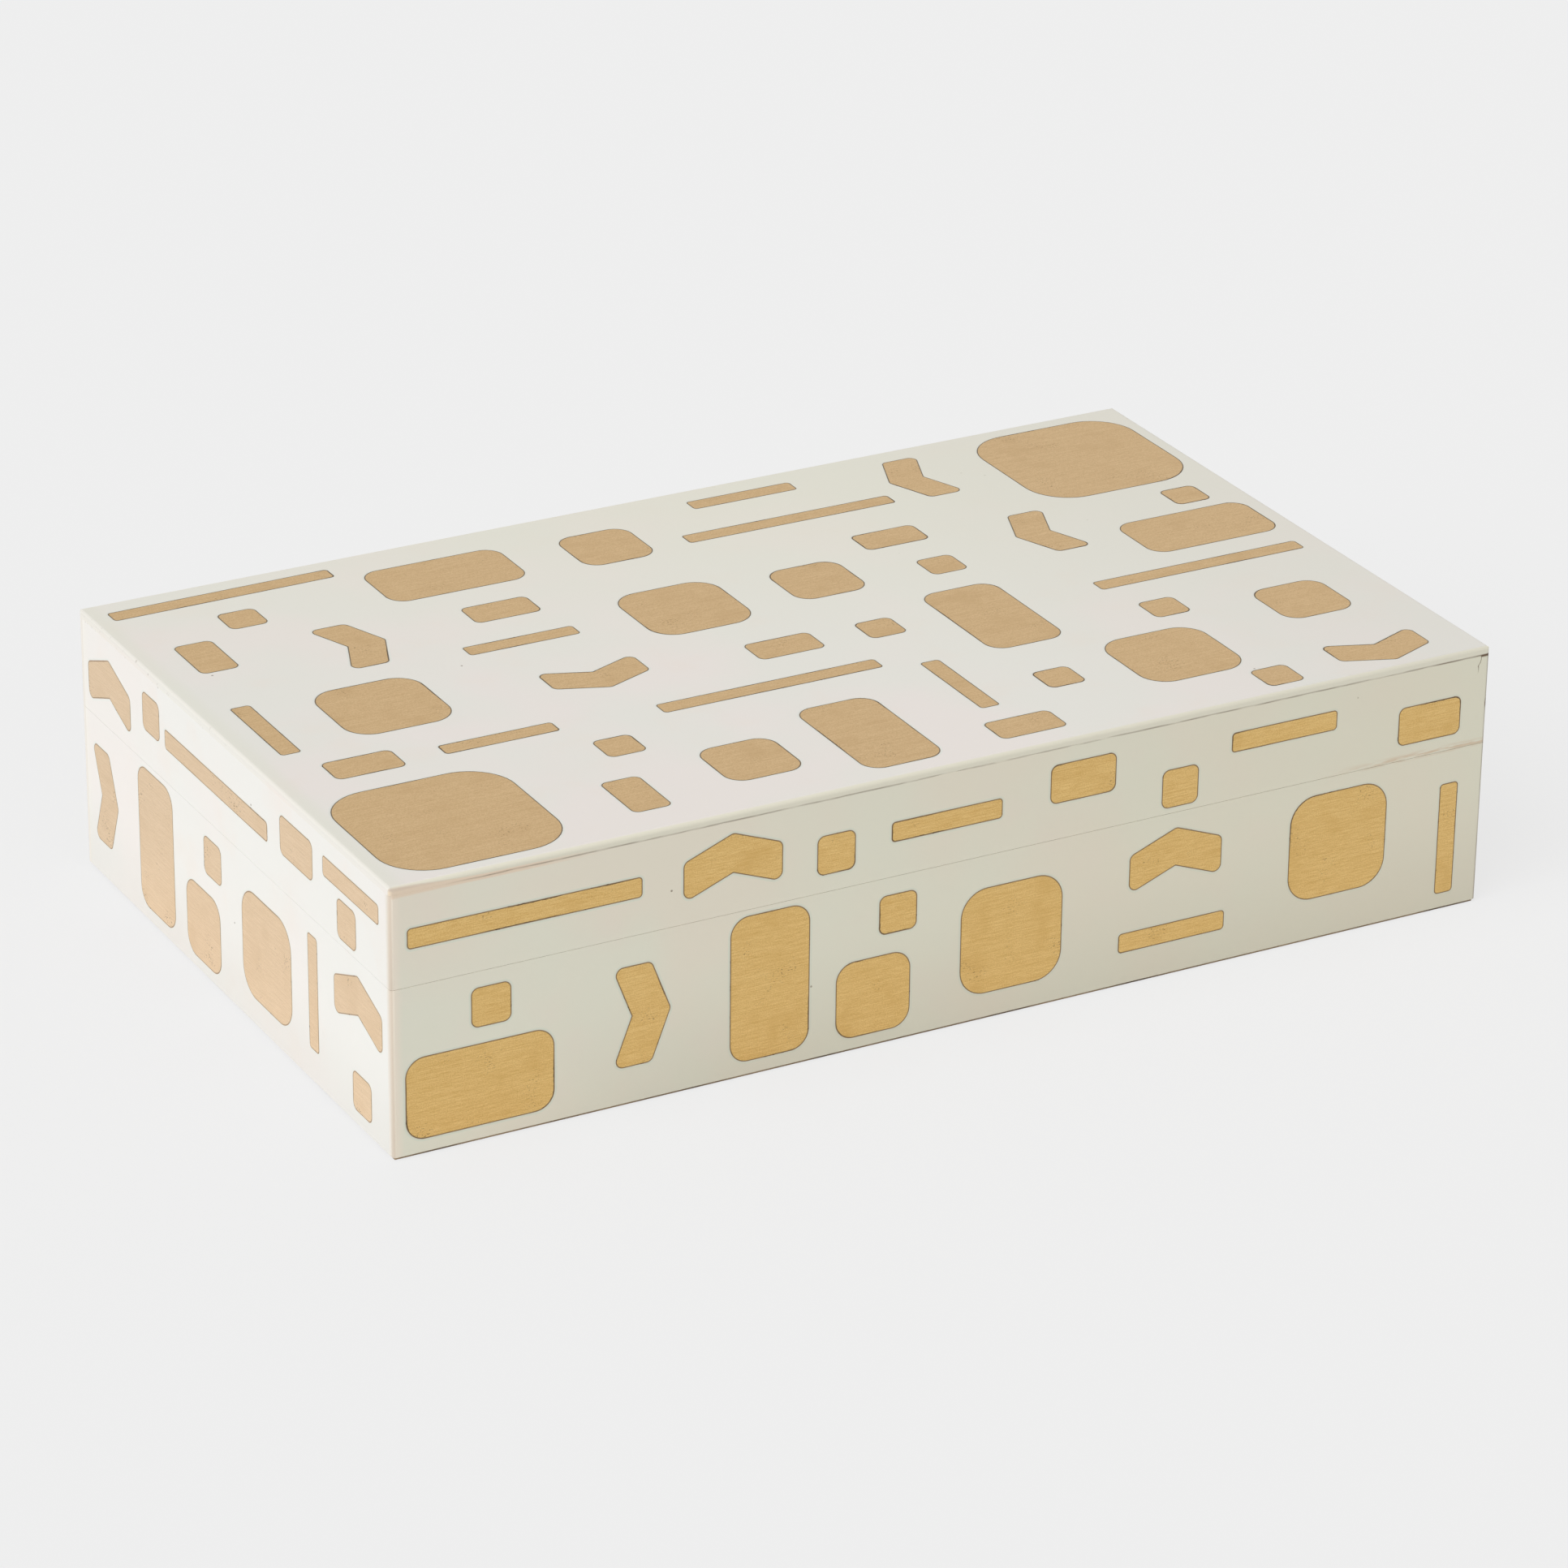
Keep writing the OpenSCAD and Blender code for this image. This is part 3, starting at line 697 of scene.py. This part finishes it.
# %% [markdown]
# ## The brass pieces and the paste round them
# Each brass piece gets a faint round on its edge and a narrow band for the black. A pocket is 0.3
# mm wider all round than its piece, and what fills that gap is a paste of the same resin with glue
# in it. It is ivory like the sheet, and brown where it touches the brass, which is the fine outline
# that one sees. Its ring is made from the brass outline itself: the caps are grown by the width of
# the gap, the ring that this adds is kept, and it is pulled down into the pocket as a thin closed
# wall.

# %% Paste that fills the pockets
# The paste takes each face's resin tone, and with it the light painted into that tone.
IVORY = {"top": paint(223, 219, 209), "front": paint(218, 213, 196), "end": paint(228, 225, 218)}


def pocket_paste(name, ivory, outline):
    """Ivory paste that is stained brown next to the brass, with a few dark holes."""
    r = recipe(name)
    place = r.place()
    stain = r.noise(place, 0.006, detail=3.0)
    beside = (r.rim() + stain * 0.3).rise(0.35, 0.80)
    holes = r.noise(place, 0.0008, detail=2.0, seed=6.0).rise(0.58, 0.66) * stain.rise(0.50, 0.62)
    colour = r.mix(ivory, outline, beside * 0.9)
    colour = r.mix(colour, HOLLOW, holes * beside)
    relief = r.bump(1 - holes * beside, 0.00006)
    return r.surface(Base_Color=colour, Roughness=0.45 + beside * 0.2, Normal=relief)


paste = {face: pocket_paste("pocket_paste_" + face, IVORY[face], OUTLINE[face]) for face in IVORY}
print("paste finishes:", sorted(paste))

# %% A ring of paste round each brass piece
GLUE_GAP = 0.3 * MM
GLUE_SINK = 0.02 * MM
GLUE_DEEP = 1.6 * MM


def glue_rings(node, out):
    """Closed rings of paste round every brass piece of the node, with rim 1 at the brass."""
    shell = welded(node)
    caps = facing(shell, out)
    kept = set(caps)
    hidden = [face for face in shell.faces if face not in kept]
    bmesh.ops.delete(shell, geom=hidden, context="FACES")
    distance = distance_to([point.co.copy() for point in shell.verts])
    rings = bmesh.ops.inset_region(
        shell, faces=caps, thickness=-GLUE_GAP, use_boundary=True, use_even_offset=True
    )["faces"]
    bmesh.ops.delete(shell, geom=caps, context="FACES")
    mark_rim(shell, set(), lambda point: distance(point.co) < WELD)
    bmesh.ops.translate(shell, verts=shell.verts, vec=-out * GLUE_SINK)
    grown = bmesh.ops.extrude_face_region(shell, geom=rings, use_keep_orig=True)["geom"]
    lower = [part for part in grown if isinstance(part, bmesh.types.BMVert)]
    bmesh.ops.translate(shell, verts=lower, vec=-out * GLUE_DEEP)
    bmesh.ops.recalc_face_normals(shell, faces=shell.faces)
    return shell


trial = glue_rings("lid_top_inlays", OUTWARD["top"])
print("rings of paste on the top:", len(trial.faces), "faces")
trial.free()

# %% The brass pieces
BRASS_EASE = 0.08 * MM
BLACK_BAND = 0.45 * MM

for body, side in sides:
    node, out = f"{body}_{side}_inlays", OUTWARD[side]
    shell = welded(node)
    shown = facing(shell, out)
    level = plane_of(shown[0])
    inside = set().union(*(margin(shell, [cap], BLACK_BAND) for cap in shown))
    ease(shell, BRASS_EASE, margined=level)
    mark_rim(shell, inside, lambda point: True)
    add_piece(shell, f"{body}_{side}_brass", body, brass[FINISH_OF[side]], node)
    add_piece(glue_rings(node, out), f"{body}_{side}_glue", body, paste[FINISH_OF[side]])

# %% [markdown]
# ## The stop hinges
# Two small hinges of solid machined brass join the halves at the back. Their square heels meet when
# the lid is a little past upright, so the box needs no stay. The solids have the leaves, knuckles,
# heels, pins and slotted screws. Machined brass is brighter and sharper than the sanded pieces,
# with short turned scratches, and it is rounded only enough to take a light along its edges.

# %% Machined brass
def machined_brass(name):
    """Bright solid brass with fine turning marks."""
    r = recipe(name)
    place = r.place()
    marks = r.noise(place, (0.003, 0.00012, 0.00012), detail=2.0)
    handled = r.noise(place, 0.006, detail=3.0, seed=8.0)
    colour = r.mix(paint(206, 166, 98), paint(232, 198, 136), marks.rise(0.25, 0.70))
    colour = r.mix(colour, paint(168, 128, 76), handled.rise(0.56, 0.76) * 0.5)
    rough = 0.30 + marks * 0.14 + handled * 0.12
    relief = r.bump(marks, 0.000008)
    return r.surface(Base_Color=colour, Metallic=1.0, Roughness=rough, Normal=relief)


hinge_brass = machined_brass("hinge_brass")
HINGE_EASE = {"leaf": 0.12 * MM, "pin": 0.25 * MM, "screws": 0.06 * MM}

for node in sorted(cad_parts):
    if "_hinge_" in node:
        part = node.split("_")[-1]
        shell = welded(node)
        ease(shell, HINGE_EASE[part], segments=3 if part == "pin" else 2)
        body = "lid" if "_lid_" in node else "base"
        add_piece(shell, node + "_brass", body, hinge_brass, node)

# %% [markdown]
# ## The velvet pads
# Velvet over thin card covers the floor inside and the underside of the lid. Such a pad is slightly
# crowned, with edges that roll under where the cloth is turned round the card. It starts as a grid
# of the pad's own size, is extruded down to a closed slab, has its upper edges rounded, and is then
# lowered a little towards the edges. The pile catches light at glancing angles, which is what sheen
# is for, and it lies in broad strokes where a hand has passed over it.

# %% Velvet
def velvet(name):
    """Deep red velvet, brushed here and there."""
    r = recipe(name)
    place = r.place()
    strokes = r.noise(place, (0.040, 0.016, 0.016), detail=2.0)
    pile = r.noise(place, 0.00035, detail=2.0, seed=4.0)
    colour = r.mix(paint(98, 22, 32), paint(118, 29, 39), strokes.rise(0.35, 0.65))
    colour = r.mix(colour, paint(58, 10, 18), pile.rise(0.45, 0.75) * 0.6)
    return r.surface(
        Base_Color=colour, Roughness=0.85, Sheen_Weight=0.5, Sheen_Roughness=0.4,
        Sheen_Tint=paint(214, 150, 150), Normal=r.bump(pile + strokes * 0.6, 0.00025),
    )


red_velvet = velvet("lining_velvet")
print("velvet finish:", red_velvet.name)

# %% A crowned pad
PAD_ROLL = 0.5 * MM
PAD_CROWN = 0.25 * MM
PAD_GRID = 48


def crowned_pad(node, up):
    """A pad that fills the node's box, crowned on its upper or lower side."""
    low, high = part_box(node)
    size, middle = high - low, (low + high) / 2
    pad = bmesh.new()
    bmesh.ops.create_grid(pad, x_segments=PAD_GRID, y_segments=PAD_GRID, size=0.5)
    grown = bmesh.ops.extrude_face_region(pad, geom=pad.faces[:], use_keep_orig=True)["geom"]
    lower = [part for part in grown if isinstance(part, bmesh.types.BMVert)]
    bmesh.ops.translate(pad, verts=lower, vec=(0, 0, -1))
    bmesh.ops.scale(pad, vec=(size.x, size.y, size.z), verts=pad.verts)
    bmesh.ops.recalc_face_normals(pad, faces=pad.faces)
    brim = [
        edge for edge in pad.edges
        if edge.calc_face_angle(0.0) > CORNER
        and all(point.co.z > -size.z / 2 for point in edge.verts)
    ]
    bmesh.ops.bevel(
        pad, geom=brim, offset=PAD_ROLL, offset_type="OFFSET", segments=4, profile=0.5,
        affect="EDGES", clamp_overlap=True, material=-1,
    )
    for point in pad.verts:
        if point.co.z > WELD - size.z:
            inset = max(abs(point.co.x) / size.x, abs(point.co.y) / size.y) * 2
            point.co.z -= PAD_CROWN * inset ** 6
    if not up:
        bmesh.ops.rotate(pad, verts=pad.verts, matrix=Matrix.Rotation(math.pi, 3, "X"))
    base = low.z + size.z if up else high.z - size.z
    bmesh.ops.translate(pad, verts=pad.verts, vec=(middle.x, middle.y, base))
    return pad


# %% The two pads
for node, body, up in (("base_lining", "base", True), ("lid_lining", "lid", False)):
    pad = add_piece(crowned_pad(node, up), body + "_velvet_pad", body, red_velvet, node)
    for polygon in pad.data.polygons:
        polygon.use_smooth = True

# %% [markdown]
# ## The felt underneath
# A piece of pressed felt under the base keeps the box from scratching a table. It is a hair smaller
# than the base all round, so all that shows from outside is a thin dark line. It is cut flat and
# glued on. Its cut edge is soft and has gathered pale dust in patches, and the fibres make a fine
# matted relief.

# %% Pressed felt
felt_low, felt_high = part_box("base_felt")
FELT_X, FELT_Y = felt_high.x, felt_high.y
CUT_OUTER = 0.1 * MM
CUT_INNER = 0.3 * MM


def pressed_felt(name):
    """Dark felt with matted fibres, dusty along its cut edge."""
    r = recipe(name)
    place = r.place()
    fibres = r.noise(place, (0.0009, 0.0003, 0.0003), detail=4.0)
    matted = r.noise(place, 0.004, detail=3.0, seed=5.0)
    colour = r.mix(paint(44, 38, 33), paint(74, 66, 58), fibres.rise(0.35, 0.70))
    colour = r.mix(colour, paint(34, 29, 25), matted.rise(0.50, 0.75) * 0.5)
    x, y, z = r.axes(place)
    cut_ends = abs(x).rise(FELT_X - CUT_INNER, FELT_X - CUT_OUTER)
    cut_sides = abs(y).rise(FELT_Y - CUT_INNER, FELT_Y - CUT_OUTER)
    cut = (cut_ends + cut_sides).clamp()
    dusty = r.noise(place, 0.022, detail=4.0, seed=8.0).rise(0.30, 0.62)
    colour = r.mix(colour, paint(180, 156, 126), cut * (0.25 + dusty * 0.75))
    relief = r.bump(fibres + matted * 0.5, 0.0002)
    return r.surface(Base_Color=colour, Roughness=0.95, Sheen_Weight=0.25, Normal=relief)


FELT_EASE = 0.2 * MM

shell = welded("base_felt")
ease(shell, FELT_EASE, segments=3)
dark_felt = pressed_felt("underside_felt")
felt = add_piece(shell, "base_felt_sheet", "base", dark_felt, "base_felt")

# %% [markdown]
# ## The studio
# A pale floor runs far past the view, so it is the background too. From below it is clear, and it
# has an opening that the felt covers, so that the felt can be looked at and has light on it. The
# light is an even pale sky and one very large soft lamp at the upper left. The sky is dimmer for
# the light that it gives than for what metal and the camera see of it, which keeps the brass
# reflecting a pale room while the resin stays at the tone it is painted. The lamp itself isn't
# reflected, so no polished face burns out, from whichever side the box is seen.

# %% The floor
FLOOR_SPAN = 12.0
FLOOR_EVENNESS = 0.85
OPENING_IN = 1.0 * MM
PALE = paint(239, 239, 239)


def seen_rays(r):
    """1 for what the camera, a reflection or clear glass sees, 0 for the light that is given."""
    path = r.node("LightPath").socket.node.outputs
    kinds = ("Is Camera Ray", "Is Glossy Ray", "Is Transmission Ray")
    return sum((Wire(r, path[kind]) for kind in kinds), 0).clamp()


def pale_floor(name):
    """A pale floor that keeps the shadow, is evened out for the camera and is clear from below."""
    r = recipe(name)
    cloudy = r.noise(r.place(), 0.8, detail=1.0)
    lit = r.node("BsdfDiffuse", sockets={"Color": r.mix(PALE, paint(238, 238, 238), cloudy)})
    even = r.node("Emission", sockets={"Color": PALE, "Strength": 1.0})
    evened = r.node("LightPath", out="Is Camera Ray") * FLOOR_EVENNESS
    top = r.node("MixShader", sockets={0: evened, 1: lit, 2: even})
    clear = r.node("BsdfTransparent")
    under = r.node("NewGeometry", out="Backfacing")
    shader = r.node("MixShader", sockets={0: under, 1: top, 2: clear})
    r.node("OutputMaterial", sockets={"Surface": shader})
    return r.owner


ground = bmesh.new()
bmesh.ops.create_grid(ground, x_segments=1, y_segments=1, size=FLOOR_SPAN / 2)
covered = ground.faces[:]
bmesh.ops.inset_region(ground, faces=covered, thickness=FLOOR_SPAN / 4, use_boundary=True)
for point in covered[0].verts:
    point.co.x = math.copysign(FELT_X - OPENING_IN, point.co.x)
    point.co.y = math.copysign(FELT_Y - OPENING_IN, point.co.y)
bmesh.ops.delete(ground, geom=covered, context="FACES_ONLY")
floor = as_object(ground, "studio_floor", pale_floor("studio_floor"))
print("floor:", FLOOR_SPAN, "m across")

# %% The sky and the lamp
SKY_LIGHT = 0.5
LAMP_LIGHT = 2.15
LAMP_FROM = Vector((-0.697, -0.219, 0.683))
LAMP_SPREAD = math.radians(50)

world = bpy.data.worlds.new("studio_sky")
bpy.context.scene.world = world
sky = Recipe(world)
given = sky.node("Background", sockets={"Color": (1, 1, 1, 1), "Strength": SKY_LIGHT})
seen = sky.node("Background", sockets={"Color": PALE, "Strength": 1.0})
both = sky.node("MixShader", sockets={0: seen_rays(sky), 1: given, 2: seen})
sky.node("OutputWorld", sockets={"Surface": both})

lamp = bpy.data.objects.new("studio_lamp", bpy.data.lights.new("studio_lamp", "SUN"))
lamp.data.energy = LAMP_LIGHT
lamp.data.angle = LAMP_SPREAD
lamp.visible_glossy = False
lamp.rotation_euler = LAMP_FROM.to_track_quat("Z", "Y").to_euler()
bpy.context.scene.collection.objects.link(lamp)
print("lamp from", [round(part, 2) for part in LAMP_FROM])

# %% [markdown]
# ## The camera
# It looks down at the front left corner from a little over a metre and a half away through a long
# lens, so the far edges hardly draw together, and it is turned by half a degree about its own axis.

# %% The camera
CAMERA_AT = Vector((-0.6989, -1.2751, 0.7018))
CAMERA_AIM = Vector((0.0001, -0.0018, 0.0279))
CAMERA_LENS = 147.0
CAMERA_SENSOR = 36.0
CAMERA_NEAREST = 0.05
CAMERA_ROLL = math.radians(0.648)

camera = bpy.data.objects.new("studio_camera", bpy.data.cameras.new("studio_camera"))
camera.data.lens = CAMERA_LENS
camera.data.sensor_width = CAMERA_SENSOR
camera.data.clip_start = CAMERA_NEAREST
level_turn = (CAMERA_AIM - CAMERA_AT).to_track_quat("-Z", "Y").to_matrix()
turn = level_turn @ Matrix.Rotation(CAMERA_ROLL, 3, "Z")
camera.matrix_world = Matrix.Translation(CAMERA_AT) @ turn.to_4x4()
bpy.context.scene.collection.objects.link(camera)
bpy.context.scene.camera = camera
bpy.context.scene.view_settings.view_transform = "Standard"
print("camera", round((CAMERA_AIM - CAMERA_AT).length, 3), "m from the box")
